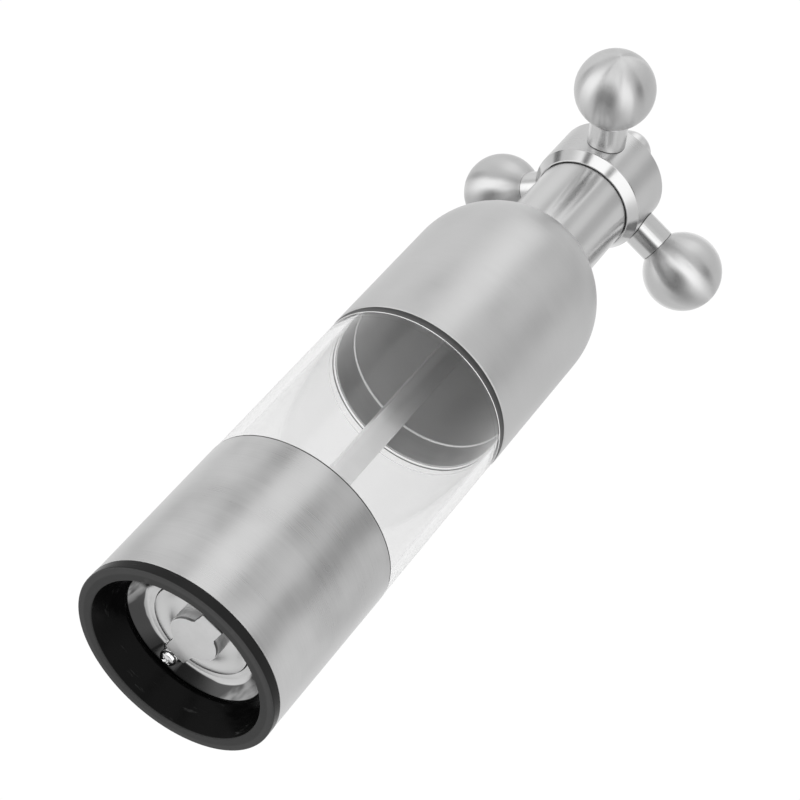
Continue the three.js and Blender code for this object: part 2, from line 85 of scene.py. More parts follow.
STEEL_WALL = 1.0
TUBE_BORE = 22.7
SPIGOT_RADIUS = HOUSING_RADIUS
DOME_CENTRE = 137.0
NECK_BORE = 11.3
SEAM = 0.08  # hairline left between two shells that meet
TUBE_SEAM = 0.2
COLLAR_BORE = 22.3
SEAL_INNER = 24.25
SEAL_HEIGHT = 1.8
FLANGE_TOP = 2.63
FOOT_RIM_RADIUS = 21.74
FOOT_SHELF_RADIUS = 17.8
DISH_FLAT_RADIUS = 14.3
DISH_FLAT_Z = 10.0
DISH_HOLE_RADIUS = 12.2
SHEET = 0.8

FULL_TURN = 2 * math.pi


def to_metres(point):
    return Vector(point) * MM


# ---- Camera ----

CAMERA_AIM = (-1.3, 0.1, 93.3)
CAMERA_DISTANCE = 538.4
CAMERA_AZIMUTH = math.radians(-5.3)  # 0 looks along +Y
CAMERA_ELEVATION = math.radians(-38.93)  # from below the foot
CAMERA_ROLL = math.radians(41.89)  # the mill leans to the right in the picture
CAMERA_LENS = 102.84


def make_camera():
    data = bpy.data.cameras.new("camera")
    data.lens = CAMERA_LENS
    data.sensor_width = 36.0
    data.clip_start = 0.01
    data.clip_end = 20.0
    camera = bpy.data.objects.new("camera", data)
    bpy.context.scene.collection.objects.link(camera)
    level = math.cos(CAMERA_ELEVATION)
    back = Vector((
        math.sin(CAMERA_AZIMUTH) * level,
        -math.cos(CAMERA_AZIMUTH) * level,
        math.sin(CAMERA_ELEVATION),
    ))
    camera.location = to_metres(CAMERA_AIM) + back * CAMERA_DISTANCE * MM
    upright = (-back).to_track_quat("-Z", "Y").to_matrix()
    camera.rotation_mode = "QUATERNION"
    camera.rotation_quaternion = (upright @ Matrix.Rotation(CAMERA_ROLL, 3, "Z")).to_quaternion()
    bpy.context.scene.camera = camera


# ---- Node helpers ----

class Nodes:
    """Builds a node tree with short calls. Sockets and plain values are both taken as inputs."""

    def __init__(self, tree):
        self.tree = tree
        tree.nodes.clear()

    def new(self, kind, inputs=None, **settings):
        node = self.tree.nodes.new(kind)
        for key, value in settings.items():
            setattr(node, key, value)
        for key, value in (inputs or {}).items():
            self.feed(node.inputs[key], value)
        return node

    def feed(self, socket, value):
        if isinstance(value, bpy.types.NodeSocket):
            self.tree.links.new(value, socket)
        else:
            socket.default_value = value

    def math(self, operation, *values):
        return self.new("ShaderNodeMath", dict(enumerate(values)), operation=operation).outputs[0]

    def add(self, first, *others):
        for other in others:
            first = self.math("ADD", first, other)
        return first

    def times(self, first, second):
        return self.math("MULTIPLY", first, second)

    def remap(self, value, low, high, to_low=0.0, to_high=1.0):
        """A value taken smoothly from one range to another, and held at its ends."""
        inputs = {0: value, 1: low, 2: high, 3: to_low, 4: to_high}
        return self.new("ShaderNodeMapRange", inputs, interpolation_type="SMOOTHSTEP").outputs[0]

    def swing(self, noise, amount):
        """A noise taken to a change of at most amount either way."""
        return self.remap(noise, 0.3, 0.7, -amount, amount)

    def vector_math(self, operation, *vectors):
        return self.new("ShaderNodeVectorMath", dict(enumerate(vectors)), operation=operation).outputs

    def scaled(self, vector, scale):
        return self.vector_math("MULTIPLY", vector, scale)[0]

    def minus(self, vector, other):
        return self.vector_math("SUBTRACT", vector, other)[0]

    def length(self, vector):
        return self.vector_math("LENGTH", vector)["Value"]

    def dot(self, vector, other):
        return self.vector_math("DOT_PRODUCT", vector, other)["Value"]

    def split(self, vector):
        return self.new("ShaderNodeSeparateXYZ", {0: vector}).outputs

    def from_axis(self, place):
        """Distance from the mill's axis."""
        return self.length(self.scaled(place, (1.0, 1.0, 0.0)))

    def object_place(self):
        return self.new("ShaderNodeTexCoord").outputs["Object"]

    def turned_about_z(self, vector, angle):
        inputs = {"Vector": vector, "Angle": angle}
        return self.new("ShaderNodeVectorRotate", inputs, rotation_type="Z_AXIS").outputs[0]

    def noise(self, vector, scale, detail=2.0, roughness=0.5):
        inputs = {"Vector": vector, "Scale": scale, "Detail": detail, "Roughness": roughness}
        return self.new("ShaderNodeTexNoise", inputs).outputs[0]

    def grey(self, value):
        inputs = {0: value, 1: value, 2: value}
        return self.new("ShaderNodeCombineColor", inputs).outputs[0]

    def bump(self, height, strength, distance, normal=None):
        inputs = {"Height": height, "Strength": strength, "Distance": distance}
        if normal is not None:
            inputs["Normal"] = normal
        return self.new("ShaderNodeBump", inputs).outputs[0]


def new_material(name):
    material = bpy.data.materials.new(name)
    material.use_nodes = True
    return material, Nodes(material.node_tree)


def finish_surface(nodes, inputs):
    shader = nodes.new("ShaderNodeBsdfPrincipled", inputs)
    nodes.new("ShaderNodeOutputMaterial", {"Surface": shader.outputs[0]})


# ---- Materials ----

MILL_GRAIN = (1.0, 1.0, 55.0)  # how much finer the grain is along the axis it was turned about
SPOKE_GRAIN = (55.0, 1.0, 1.0)


def edge_wear(nodes, width):
    """1 near a convex edge and 0 elsewhere."""
    bevel = nodes.new("ShaderNodeBevel", {"Radius": width}, samples=4)
    normal = nodes.new("ShaderNodeNewGeometry").outputs["Normal"]
    return nodes.remap(nodes.dot(bevel.outputs[0], normal), 0.98, 0.8)


def round_spoke(nodes, place, spoke):
    """The direction that runs round a spoke, from a place measured along and across that spoke."""
    parts = nodes.split(place)
    below = nodes.math("SUBTRACT", HANDLE_Z * MM, parts["Z"])
    around = nodes.new("ShaderNodeCombineXYZ", {0: 0.0, 1: below, 2: parts["Y"]}).outputs[0]
    inputs = {"Vector": nodes.turned_about_z(around, spoke)}
    settings = {"vector_type": "VECTOR", "convert_from": "OBJECT", "convert_to": "WORLD"}
    return nodes.new("ShaderNodeVectorTransform", inputs, **settings).outputs[0]


def inside_dome(nodes, place, radius):
    """1 within a radius of the bell's core, which is a column with a round top, and 0 outside it."""
    parts = nodes.split(nodes.minus(place, (0.0, 0.0, DOME_CENTRE * MM)))
    above = nodes.math("MAXIMUM", parts["Z"], 0.0)
    from_core = nodes.new("ShaderNodeCombineXYZ", {0: parts["X"], 1: parts["Y"], 2: above}).outputs[0]
    return nodes.math("LESS_THAN", nodes.length(from_core), radius * MM)


def turned_steel(
    name, grey, rough, grain=0.35, blotch=0.05, anisotropy=0.6, wear=0.0,
    inside=None, joints=(), polished_highlight_below=None, spoke=None,
):
    """Steel brushed round an axis: fine rings of grain, soft blotches and streaked highlights.

    inside is the radius of a domed shell in millimetres: the steel is duller where nobody
    polished it. The surfaces that a piece runs into are given as (centre, scale, radius), and a fine
    line of painted contact shadow darkens the steel round each. Below a given height a lip is cut
    smooth, with a painted highlight that raises its tone a little.
    spoke is the direction of a piece that was turned about a spoke of the handle, in radians.
    """
    material, nodes = new_material(name)
    place = nodes.object_place()
    if spoke is not None:
        place = nodes.turned_about_z(place, -spoke)
    stretched = nodes.scaled(place, MILL_GRAIN if spoke is None else SPOKE_GRAIN)
    fine = nodes.noise(stretched, 85.0, 3.0, 0.65)
    coarse = nodes.noise(stretched, 22.0, 2.0, 0.5)
    cloud = nodes.noise(place, 75.0, 2.0, 0.5)
    cast = nodes.noise(place, 28.0, 1.0, 0.5)
    rings = nodes.add(nodes.times(fine, 0.65), nodes.times(coarse, 0.35))
    tone = nodes.add(
        nodes.swing(cloud, blotch), grey, nodes.swing(cast, blotch), nodes.swing(rings, 0.05 * grain)
    )
    if wear:
        tone = nodes.add(tone, nodes.times(edge_wear(nodes, 0.4 * MM), wear))
    uneven = min(0.05, 0.2 * grain)
    roughness = nodes.add(nodes.swing(rings, uneven), rough, nodes.swing(cloud, uneven))
    streaks = anisotropy
    if inside:
        is_inside = inside_dome(nodes, place, inside)
        roughness = nodes.add(roughness, nodes.times(is_inside, 0.15))
        tone = nodes.times(tone, nodes.add(1.0, nodes.times(is_inside, 0.2)))
        streaks = nodes.times(nodes.math("SUBTRACT", 1.0, is_inside), anisotropy)
    # Painted contact shadow: a fine dark line round each surface that the piece runs into.
    for centre, scale, radius in joints:
        away = nodes.length(nodes.scaled(nodes.minus(place, to_metres(centre)), scale))
        clear_of = nodes.math("ABSOLUTE", nodes.math("SUBTRACT", away, radius * MM))
        tone = nodes.times(tone, nodes.remap(clear_of, 0.12 * MM, 0.3 * MM, 0.12, 1.0))
    # A polished lip below a given height: less rough and without streaks, with a painted highlight that
    # raises its tone a little.
    if polished_highlight_below:
        is_polished_highlight = nodes.math("LESS_THAN", nodes.split(place)["Z"], polished_highlight_below * MM)
        tone = nodes.add(tone, nodes.times(is_polished_highlight, 0.01))
        roughness = nodes.math("SUBTRACT", roughness, nodes.times(is_polished_highlight, 0.14))
        streaks = nodes.times(nodes.math("SUBTRACT", 1.0, is_polished_highlight), anisotropy)
    if spoke is None:
        tangent = nodes.new("ShaderNodeTangent", direction_type="RADIAL", axis="Z").outputs[0]
    else:
        tangent = round_spoke(nodes, place, spoke)
    finish_surface(nodes, {
        "Base Color": nodes.grey(tone),
        "Metallic": 1.0,
        "Roughness": roughness,
        "Anisotropic": streaks,
        "Anisotropic Rotation": 0.25,
        "Tangent": tangent,
        "Normal": nodes.bump(rings, grain, 0.00002),
    })
    return material


def painted_reflection_dark(nodes, place, smudge, radius):
    """Factor that paints a reflection onto a dish beyond a radius: darkest in the middle, less dark towards
    -X and +X.
    """
    ragged = nodes.add(nodes.from_axis(place), nodes.swing(smudge, 0.4 * MM))
    streak = nodes.noise(nodes.scaled(place, (1.0, 0.25, 0.25)), 420.0, 2.0, 0.6)
    side = nodes.add(nodes.split(place)["X"], nodes.swing(streak, 2.0 * MM))
    left = nodes.remap(side, -15.0 * MM, -18.0 * MM, 0.16, 0.62)
    right = nodes.remap(side, 12.5 * MM, 17.5 * MM, 0.0, 0.4)
    return nodes.remap(ragged, (radius - 0.15) * MM, (radius + 0.15) * MM, 1.0, nodes.add(left, right))


def polished_steel(name, grey, rough, waviness=0.15, painted_reflection_beyond=None):
    """Bright pressed or polished steel with faint turning marks and a slight waviness.

    Beyond a radius in millimetres it can be darkened by a painted reflection of the dark bore.
    """
    material, nodes = new_material(name)
    place = nodes.object_place()
    wave = nodes.noise(place, 180.0, 1.0, 0.4)
    marks = nodes.noise(nodes.scaled(place, (14.0, 14.0, 14.0)), 60.0, 3.0, 0.6)
    smudge = nodes.noise(place, 90.0, 2.0, 0.6)
    tone = nodes.add(nodes.remap(smudge, 0.35, 0.7, -0.03, 0.02), grey)
    if painted_reflection_beyond:
        # Painted reflection: the cone beyond the flat rim is darkened as if it mirrored the dark bore, less
        # so towards -X and +X.
        tone = nodes.times(tone, painted_reflection_dark(nodes, place, smudge, painted_reflection_beyond))
    normal = nodes.bump(wave, waviness, 0.0002)
    finish_surface(nodes, {
        "Base Color": nodes.grey(tone),
        "Metallic": 1.0,
        "Roughness": nodes.add(nodes.remap(smudge, 0.3, 0.75, -0.03, 0.06), rough),
        "Normal": nodes.bump(marks, 0.06, 0.00003, normal),
    })
    return material


def flat_ground_steel(name, grey, rough, grain=0.2, painted_shade_sides=False):
    """Matte ground or drawn steel with an even, very fine speckle, and perhaps painted shade on its upright
    sides that draws a dark line round its outline.
    """
    material, nodes = new_material(name)
    place = nodes.object_place()
    speckle = nodes.noise(place, 3200.0, 2.0, 0.6)
    drawn = nodes.noise(nodes.scaled(place, (1.0, 1.0, 0.03)), 2600.0, 2.0, 0.6)
    cloud = nodes.noise(place, 130.0, 2.0, 0.5)
    tone = nodes.add(nodes.swing(cloud, 0.025), grey, nodes.times(edge_wear(nodes, 0.3 * MM), 0.12))
    if painted_shade_sides:
        # Painted shade: faces that are not level are darkened, so the plate's bevelled rim shows a dark
        # outline.
        normal = nodes.new("ShaderNodeNewGeometry").outputs["Normal"]
        upright = nodes.math("ABSOLUTE", nodes.split(normal)["Z"])
        tone = nodes.times(tone, nodes.remap(upright, 0.6, 0.95, 0.3, 1.0))
    finish_surface(nodes, {
        "Base Color": nodes.grey(tone),
        "Metallic": 1.0,
        "Roughness": nodes.add(nodes.swing(drawn, 0.06), rough),
        "Normal": nodes.bump(nodes.add(speckle, drawn), grain, 0.00001),
    })
    return material


def moulded_plastic(
    name, grey, rough, texture=0.25, worn=0.03, scuffed_below=None, specular=0.5, dusty=0.0
):
    """Moulded plastic: a fine spark-eroded texture, soft smears and paler edges.

    Below a height in millimetres it can be scuffed to a paler, duller grey by what it stands on,
    and it is a little paler where hands rub its outside.
    """
    material, nodes = new_material(name)
    place = nodes.object_place()
    skin = nodes.noise(place, 5200.0, 2.0, 0.6)
    smear = nodes.noise(nodes.scaled(place, (1.0, 1.0, 6.0)), 160.0, 3.0, 0.6)
    tone = nodes.add(
        nodes.remap(smear, 0.35, 0.75, 0.0, 0.35 * grey),
        grey,
        nodes.remap(smear, 0.64, 0.8, 0.0, dusty),
        nodes.times(edge_wear(nodes, 0.3 * MM), worn),
    )
    roughness = nodes.add(nodes.swing(smear, 0.07), rough)
    if scuffed_below:
        height = nodes.split(place)["Z"]
        scuffed = nodes.remap(height, scuffed_below * MM, 3 * scuffed_below * MM, 1.0, 0.0)
        handled = nodes.remap(nodes.from_axis(place), (SPIGOT_RADIUS - 0.5) * MM, SPIGOT_RADIUS * MM)
        tone = nodes.add(tone, nodes.add(nodes.times(scuffed, 0.055), nodes.times(handled, 0.018)))
        roughness = nodes.add(roughness, nodes.times(scuffed, 0.2))
    finish_surface(nodes, {
        "Base Color": nodes.grey(tone),
        "Roughness": roughness,
        "Specular IOR Level": specular,
        "Normal": nodes.bump(skin, texture, 0.00002),
    })
    return material


def outer_seal(name):
    """A dark band that shows only on the outside of the clear tube, with painted shade that deepens it
    towards the bell's rim.
    """
    material, nodes = new_material(name)
    place = nodes.object_place()
    is_back = nodes.math("LESS_THAN", nodes.from_axis(place), (SEAL_INNER + 0.1) * MM)
    hidden = nodes.math("MAXIMUM", is_back, nodes.new("ShaderNodeNewGeometry").outputs["Backfacing"])
    grime = nodes.noise(nodes.scaled(place, (1.0, 1.0, 4.0)), 300.0, 3.0, 0.6)
    height = nodes.split(place)["Z"]
    # Painted shade: the band darkens towards its top, under the bell's rim.
    shade = nodes.remap(height, (BELL_BOTTOM - SEAL_HEIGHT) * MM, BELL_BOTTOM * MM, 0.07, 0.02)
    shader = nodes.new("ShaderNodeBsdfPrincipled", {
        "Base Color": nodes.grey(nodes.times(shade, nodes.remap(grime, 0.3, 0.75, 0.8, 1.4))),
        "Roughness": nodes.remap(grime, 0.3, 0.75, 0.4, 0.6),
        "Normal": nodes.bump(grime, 0.2, 0.00002),
    })
    clear = nodes.new("ShaderNodeBsdfTransparent")
    mix = nodes.new("ShaderNodeMixShader", {0: hidden, 1: shader.outputs[0], 2: clear.outputs[0]})
    nodes.new("ShaderNodeOutputMaterial", {"Surface": mix.outputs[0]})
    return material


def clear_acrylic(name):
    """Clear acrylic with a few faint scuffs. Lamps shine through it."""
    material, nodes = new_material(name)
    place = nodes.object_place()
    scuff = nodes.noise(nodes.scaled(place, (1.0, 1.0, 9.0)), 320.0, 3.0, 0.7)
    shader = nodes.new("ShaderNodeBsdfPrincipled", {
        "Base Color": (0.9, 0.9, 0.9, 1.0),
        "Roughness": nodes.remap(scuff, 0.55, 0.8, 0.0, 0.09),
        "IOR": 1.49,
        "Transmission Weight": 1.0,
    })
    clear = nodes.new("ShaderNodeBsdfTransparent", {"Color": (0.95, 0.95, 0.95, 1.0)})
    lamp = nodes.new("ShaderNodeLightPath").outputs["Is Shadow Ray"]
    mix = nodes.new("ShaderNodeMixShader", {0: lamp, 1: shader.outputs[0], 2: clear.outputs[0]})
    nodes.new("ShaderNodeOutputMaterial", {"Surface": mix.outputs[0]})
    return material


SLEEVE_STEEL = turned_steel("sleeve_steel", 0.60, 0.34, grain=0.5, blotch=0.05, anisotropy=0.7, wear=0.1)
BELL_STEEL = turned_steel(
    "bell_steel", 0.64, 0.46, grain=0.3, blotch=0.02, anisotropy=0.5, wear=0.25, inside=24.4
)
# The neck's steel carries a painted contact shadow where it meets the dome.
NECK_STEEL = turned_steel("neck_steel", 0.68, 0.21, grain=0.03, blotch=0.01, anisotropy=0.95, joints=(
    ((0, 0, DOME_CENTRE), (1.0, 1.0, 1.0), BODY_RADIUS),
))
LIP_HEIGHT = 2.8
# The hub's lip is polished, and carries a small painted highlight.
HUB_STEEL = turned_steel(
    "hub_steel", 0.64, 0.3, grain=0.1, blotch=0.02, anisotropy=0.8, wear=0.2,
    polished_highlight_below=HUB_BOTTOM + LIP_HEIGHT,
)

BALL_COUNT = 3
SPOKES = [FULL_TURN * i / BALL_COUNT for i in range(BALL_COUNT)]
BALL_STEELS = [
    turned_steel(f"ball_steel_{i + 1}", 0.66, 0.3, grain=0.06, blotch=0.02, anisotropy=1.0, spoke=angle)
    for i, angle in enumerate(SPOKES)
]
# Painted contact shadow lines round the stud where it meets the hub and the ball.
STUD_CONTACT_SHADE = (
    ((0, 0, 0), (1.0, 1.0, 0.0), HUB_RADIUS),
    ((BALL_DISTANCE, 0, HANDLE_Z), (1.0, 1.0, 1.0), BALL_RADIUS),
)
STUD_STEELS = [
    turned_steel(
        f"stud_steel_{i + 1}", 0.68, 0.22, grain=0.06, blotch=0.01, anisotropy=0.7,
        joints=STUD_CONTACT_SHADE, spoke=angle,
    )
    for i, angle in enumerate(SPOKES)
]

COLLAR_STEEL = turned_steel("collar_steel", 0.8, 0.4, grain=0.6, blotch=0.04, anisotropy=0.5, wear=0.4)
KNOB_STEEL = turned_steel("knob_steel", 0.72, 0.3, grain=0.15, blotch=0.02, anisotropy=0.3)
DISH_STEEL = polished_steel("dish_steel", 0.76, 0.16, painted_reflection_beyond=DISH_FLAT_RADIUS + 0.1)
ROTOR_STEEL = polished_steel("rotor_steel", 0.76, 0.2, waviness=0.08)
SCREW_STEEL = polished_steel("screw_steel", 0.86, 0.1, waviness=0.3)
# The plate's upright sides carry painted shade.
PLATE_STEEL = flat_ground_steel("plate_steel", 0.82, 0.42, painted_shade_sides=True)
BOSS_STEEL = flat_ground_steel("boss_steel", 0.8, 0.5)
SHAFT_STEEL = flat_ground_steel("shaft_steel", 0.76, 0.35, grain=0.15)
BURR_STEEL = flat_ground_steel("burr_steel", 0.5, 0.4)
FOOT_PLASTIC = moulded_plastic(
    "foot_plastic", 0.0025, 0.22, texture=0.1, worn=0.012, scuffed_below=0.12, specular=0.06, dusty=0.05
)
HOUSING_PLASTIC = moulded_plastic("housing_plastic", 0.02, 0.45)
SEAL_PLASTIC = outer_seal("seal_plastic")
BUSH_PLASTIC = moulded_plastic("bush_plastic", 0.3, 0.5, worn=0.05)
ACRYLIC = clear_acrylic("clear_acrylic")


# ---- Mesh helpers ----

TURN_SIDES = 192
CORNER_STEPS = 5
SUPPORT = 0.12  # distance of the loop that keeps a long face flat beside a rounded corner


def rounded(profile, closed):
    """A profile of (radius, z) or (radius, z, fillet) points with its corners rounded."""
    flat = [Vector(p[:2]) for p in profile]
    fillets = [p[2] if len(p) > 2 else 0.0 for p in profile]
    count = len(flat)
    points = []
    for i, (corner, fillet) in enumerate(zip(flat, fillets)):
        is_end = not closed and i in (0, count - 1)
        if fillet <= 0 or is_end:
            points.append(corner)
            continue
        before, after = flat[i - 1] - corner, flat[(i + 1) % count] - corner
        reach = min(fillet, 0.48 * before.length, 0.48 * after.length)
        start, end = corner + before.normalized() * reach, corner + after.normalized() * reach
        for step in range(CORNER_STEPS + 1):
            t = step / CORNER_STEPS
            points.append(start * (1 - t) ** 2 + corner * 2 * t * (1 - t) + end * t * t)
    return supported(points, closed)


def supported(points, closed):
    """The points with two more near the ends of each long straight stretch."""
    out = []
    last = len(points) if closed else len(points) - 1
    for i in range(len(points)):
        out.append(points[i])
        if i >= last:
            break
        along = points[(i + 1) % len(points)] - points[i]
        if along.length > 6 * SUPPORT:
            step = along.normalized() * SUPPORT
            out += [points[i] + step, points[i] + along - step]
    return out


def arc(radius, centre_z, from_degrees, to_degrees, steps):
    """Profile points round a centre on the axis, counted in degrees up from the radius."""
    angles = [from_degrees + (to_degrees - from_degrees) * i / steps for i in range(steps + 1)]
    return [
        (radius * math.cos(math.radians(a)), centre_z + radius * math.sin(math.radians(a)))
        for a in angles
    ]


def turn_mesh(bm, profile, sides=TURN_SIDES):
    """Adds a profile turned round Z. One that doesn't start and end on the axis is closed."""
    closed = not (profile[0][0] == 0 and profile[-1][0] == 0)
    points = rounded(profile, closed)
    rings = []
    for radius, z in points:
        if radius < 1e-6:
            rings.append([bm.verts.new(to_metres((0, 0, z)))] * sides)
            continue
        angles = [FULL_TURN * i / sides for i in range(sides)]
        rings.append([
            bm.verts.new(to_metres((radius * math.cos(a), radius * math.sin(a), z))) for a in angles
        ])
    following = rings[1:] + (rings[:1] if closed else [])
    for low, high in zip(rings, following):
        for i in range(sides):
            j = (i + 1) % sides
            bm.faces.new(list(dict.fromkeys([low[i], low[j], high[j], high[i]])))


SHARP_ANGLE = math.radians(35)


def smooth_but_sharp(mesh):
    """Shades a mesh smooth, but for its sharp edges."""
    mesh.polygons.foreach_set("use_smooth", [True] * len(mesh.polygons))
    mesh.set_sharp_from_angle(angle=SHARP_ANGLE)


def finished_object(name, bm):
    bmesh.ops.remove_doubles(bm, verts=bm.verts, dist=1e-8)
    bmesh.ops.recalc_face_normals(bm, faces=bm.faces)
    mesh = bpy.data.meshes.new(name)
    bm.to_mesh(mesh)
    bm.free()
    smooth_but_sharp(mesh)
    obj = bpy.data.objects.new(name, mesh)
    bpy.context.scene.collection.objects.link(obj)
    return obj


def turned(name, profile, sides=TURN_SIDES):
    bm = bmesh.new()
    turn_mesh(bm, profile, sides)
    return finished_object(name, bm)


def prism(bm, outline, bottom, top, edge=0.0):
    """Adds an upright prism over an outline of (x, y) points, with its top and bottom edges bevelled."""
    low = [bm.verts.new(to_metres((x, y, bottom))) for x, y in outline]
    high = [bm.verts.new(to_metres((x, y, top))) for x, y in outline]
    count = len(outline)
    bm.faces.new(low[::-1])
    bm.faces.new(high)
    for i in range(count):
        bm.faces.new([low[i], low[(i + 1) % count], high[(i + 1) % count], high[i]])
    if edge:
        rims = [e for e in bm.edges if e.verts[0] in low + high and e.verts[1] in low + high]
        rims = [e for e in rims if abs(e.verts[0].co.z - e.verts[1].co.z) < 1e-9]
        bmesh.ops.bevel(bm, geom=rims, offset=edge * MM, segments=3, affect="EDGES", profile=0.5)


def rounded_square(half, corner, steps=4):
    """Outline of a square with rounded corners, as (x, y) points."""
    points = []
    for quarter in range(4):
        middle = math.radians(45 + 90 * quarter)
        cx = math.copysign(half - corner, math.cos(middle))
        cy = math.copysign(half - corner, math.sin(middle))
        for i in range(steps + 1):
            a = math.radians(90 * quarter + 90 * i / steps)
            points.append((cx + corner * math.cos(a), cy + corner * math.sin(a)))
    return points


def dress(obj, material, slot, body, *nodes):
    """Gives a piece its material, lets it stand for CAD nodes, and puts it on its body. The slot is not
    used.
    """
    obj.data.materials.clear()
    obj.data.materials.append(material)
    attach(obj, body)
    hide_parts(*nodes)


def cut_away(obj, cutter):
    """Cuts one object's shape out of another for good."""
    modifier = obj.modifiers.new("cut", "BOOLEAN")
    modifier.operation = "DIFFERENCE"
    modifier.solver = "EXACT"
    modifier.object = cutter
    bpy.context.view_layer.update()
    shape = bpy.data.meshes.new_from_object(obj.evaluated_get(bpy.context.evaluated_depsgraph_get()))
    obj.modifiers.clear()
    obj.data = shape
    bpy.data.objects.remove(cutter)
    smooth_but_sharp(shape)


# ---- Foot and grinder ----

def foot_ring():
    obj = turned("foot_ring_moulding", [
        (FOOT_RIM_RADIUS, FOOT_BOTTOM, 0.2),
        (FOOT_RADIUS, FOOT_BOTTOM, 0.5),
        (FOOT_RADIUS, FLANGE_TOP, 0.15),
        (SPIGOT_RADIUS, FLANGE_TOP),
        (SPIGOT_RADIUS, FOOT_TOP, 0.3),
        (DISH_RADIUS + 0.3, FOOT_TOP, 0.3),
        (DISH_RADIUS + 0.3, DISH_BOTTOM - SEAM),
        (FOOT_SHELF_RADIUS, DISH_BOTTOM - SEAM, 0.1),
        (FOOT_SHELF_RADIUS, DISH_BOTTOM - 0.9, 0.2),
    ])
    dress(obj, FOOT_PLASTIC, "black_plastic", "base", "foot_ring")


def lower_sleeve():
    obj = turned("sleeve_shell", [
        (BODY_RADIUS, FLANGE_TOP + SEAM, 0.12),
        (BODY_RADIUS, SLEEVE_TOP, 0.18),
        (BODY_RADIUS - STEEL_WALL, SLEEVE_TOP, 0.18),
        (BODY_RADIUS - STEEL_WALL, FLANGE_TOP + SEAM, 0.12),
    ])
    dress(obj, SLEEVE_STEEL, "brushed_steel", "base", "lower_sleeve")


def retainer_dish():
    """The pressed dish: a cone round a flat inner rim, with a level seat under each screw."""
    profile = [
        (DISH_RADIUS, DISH_BOTTOM, 0.2),
        (DISH_RADIUS, DISH_BOTTOM + SHEET, 0.2),
        (FOOT_SHELF_RADIUS, DISH_BOTTOM + SHEET, 1.0),
        (DISH_FLAT_RADIUS, DISH_FLAT_Z + SHEET, 1.6),
        (DISH_HOLE_RADIUS, DISH_FLAT_Z + SHEET, 0.3),
        (DISH_HOLE_RADIUS, DISH_FLAT_Z + 0.3, 0.08),
        (DISH_FLAT_RADIUS - 0.3, DISH_FLAT_Z, 0.5),
        (FOOT_SHELF_RADIUS + 0.4, DISH_BOTTOM, 0.3),
    ]
    bm = bmesh.new()
    turn_mesh(bm, profile)
    flatten_seats(bm)
    obj = finished_object("retainer_dish_pressing", bm)
    dress(obj, DISH_STEEL, "polished_steel", "base", "retainer_dish")


SCREW_SHOULDER = 9.0
SEAT_INNER, SEAT_OUTER = 2.2, 2.9


def flatten_seats(bm):
    """Presses the dish level round each screw, just above the screw's head."""
    for side in (1, -1):
        centre = Vector((0, side * SCREW_RING))
        for vert in bm.verts:
            away = (Vector((vert.co.x, vert.co.y)) / MM - centre).length
            if away > SEAT_OUTER:
                continue
            share = min(1.0, (SEAT_OUTER - away) / (SEAT_OUTER - SEAT_INNER))
            share = share * share * (3 - 2 * share)
            z = vert.co.z / MM
            is_under = z < plain_dish_middle(Vector((vert.co.x, vert.co.y)).length / MM)
            target = SCREW_SHOULDER + 0.1 + (0 if is_under else SHEET)
            vert.co.z += (target - z) * share * MM


def plain_dish_middle(radius):
    """Height of the middle of the dish's sheet at a radius."""
    if radius < DISH_FLAT_RADIUS:
        return DISH_FLAT_Z + SHEET / 2
    share = min(1.0, (radius - DISH_FLAT_RADIUS) / (FOOT_SHELF_RADIUS - DISH_FLAT_RADIUS))
    return DISH_FLAT_Z + SHEET / 2 + (DISH_BOTTOM - DISH_FLAT_Z) * share


def recess_wing(turn):
    """Cutter for one wing of a cross recess, tapered towards the bottom."""
    bm = bmesh.new()
    corners = []
    for z, length, width in ((-0.3, 1.42, 0.36), (1.1, 0.75, 0.2)):
        for sx, sy in ((1, 1), (-1, 1), (-1, -1), (1, -1)):
            point = Matrix.Rotation(turn, 3, "Z") @ Vector((sx * length, sy * width, z + SCREW_BOTTOM))
            corners.append(bm.verts.new(to_metres(point)))
    low, high = corners[:4], corners[4:]
    bm.faces.new(low[::-1])
    bm.faces.new(high)
    for i in range(4):
        bm.faces.new([low[i], low[(i + 1) % 4], high[(i + 1) % 4], high[i]])
    return finished_object("recess_cutter", bm)


def dish_screws():
    shank = 1.0
    crown_radius, crown_height = 2.6, 1.2  # of the ellipse that the crown follows

    def crown(r):
        return SCREW_BOTTOM + crown_height * (1 - math.sqrt(1 - (r / crown_radius) ** 2))

    head = [
        (0, SCREW_BOTTOM),
        *[(r, crown(r)) for r in (0.6, 1.1, 1.5, 1.8)],
        (SCREW_RADIUS, SCREW_BOTTOM + 0.95, 0.25),
        (SCREW_RADIUS, SCREW_SHOULDER, 0.15),
        (shank, SCREW_SHOULDER),
        (shank, SCREW_TIP - 1.0),
        (0, SCREW_TIP),
    ]
    for number, side in ((1, 1), (2, -1)):
        obj = turned(f"pan_screw_{number}", head, sides=64)
        for quarter in (0, 90):
            cut_away(obj, recess_wing(math.radians(28 * side + quarter)))
        obj.data.transform(Matrix.Translation(to_metres((0, side * SCREW_RING, 0))))
        dress(obj, SCREW_STEEL, "screw_steel", "base", f"dish_screw_{number}")


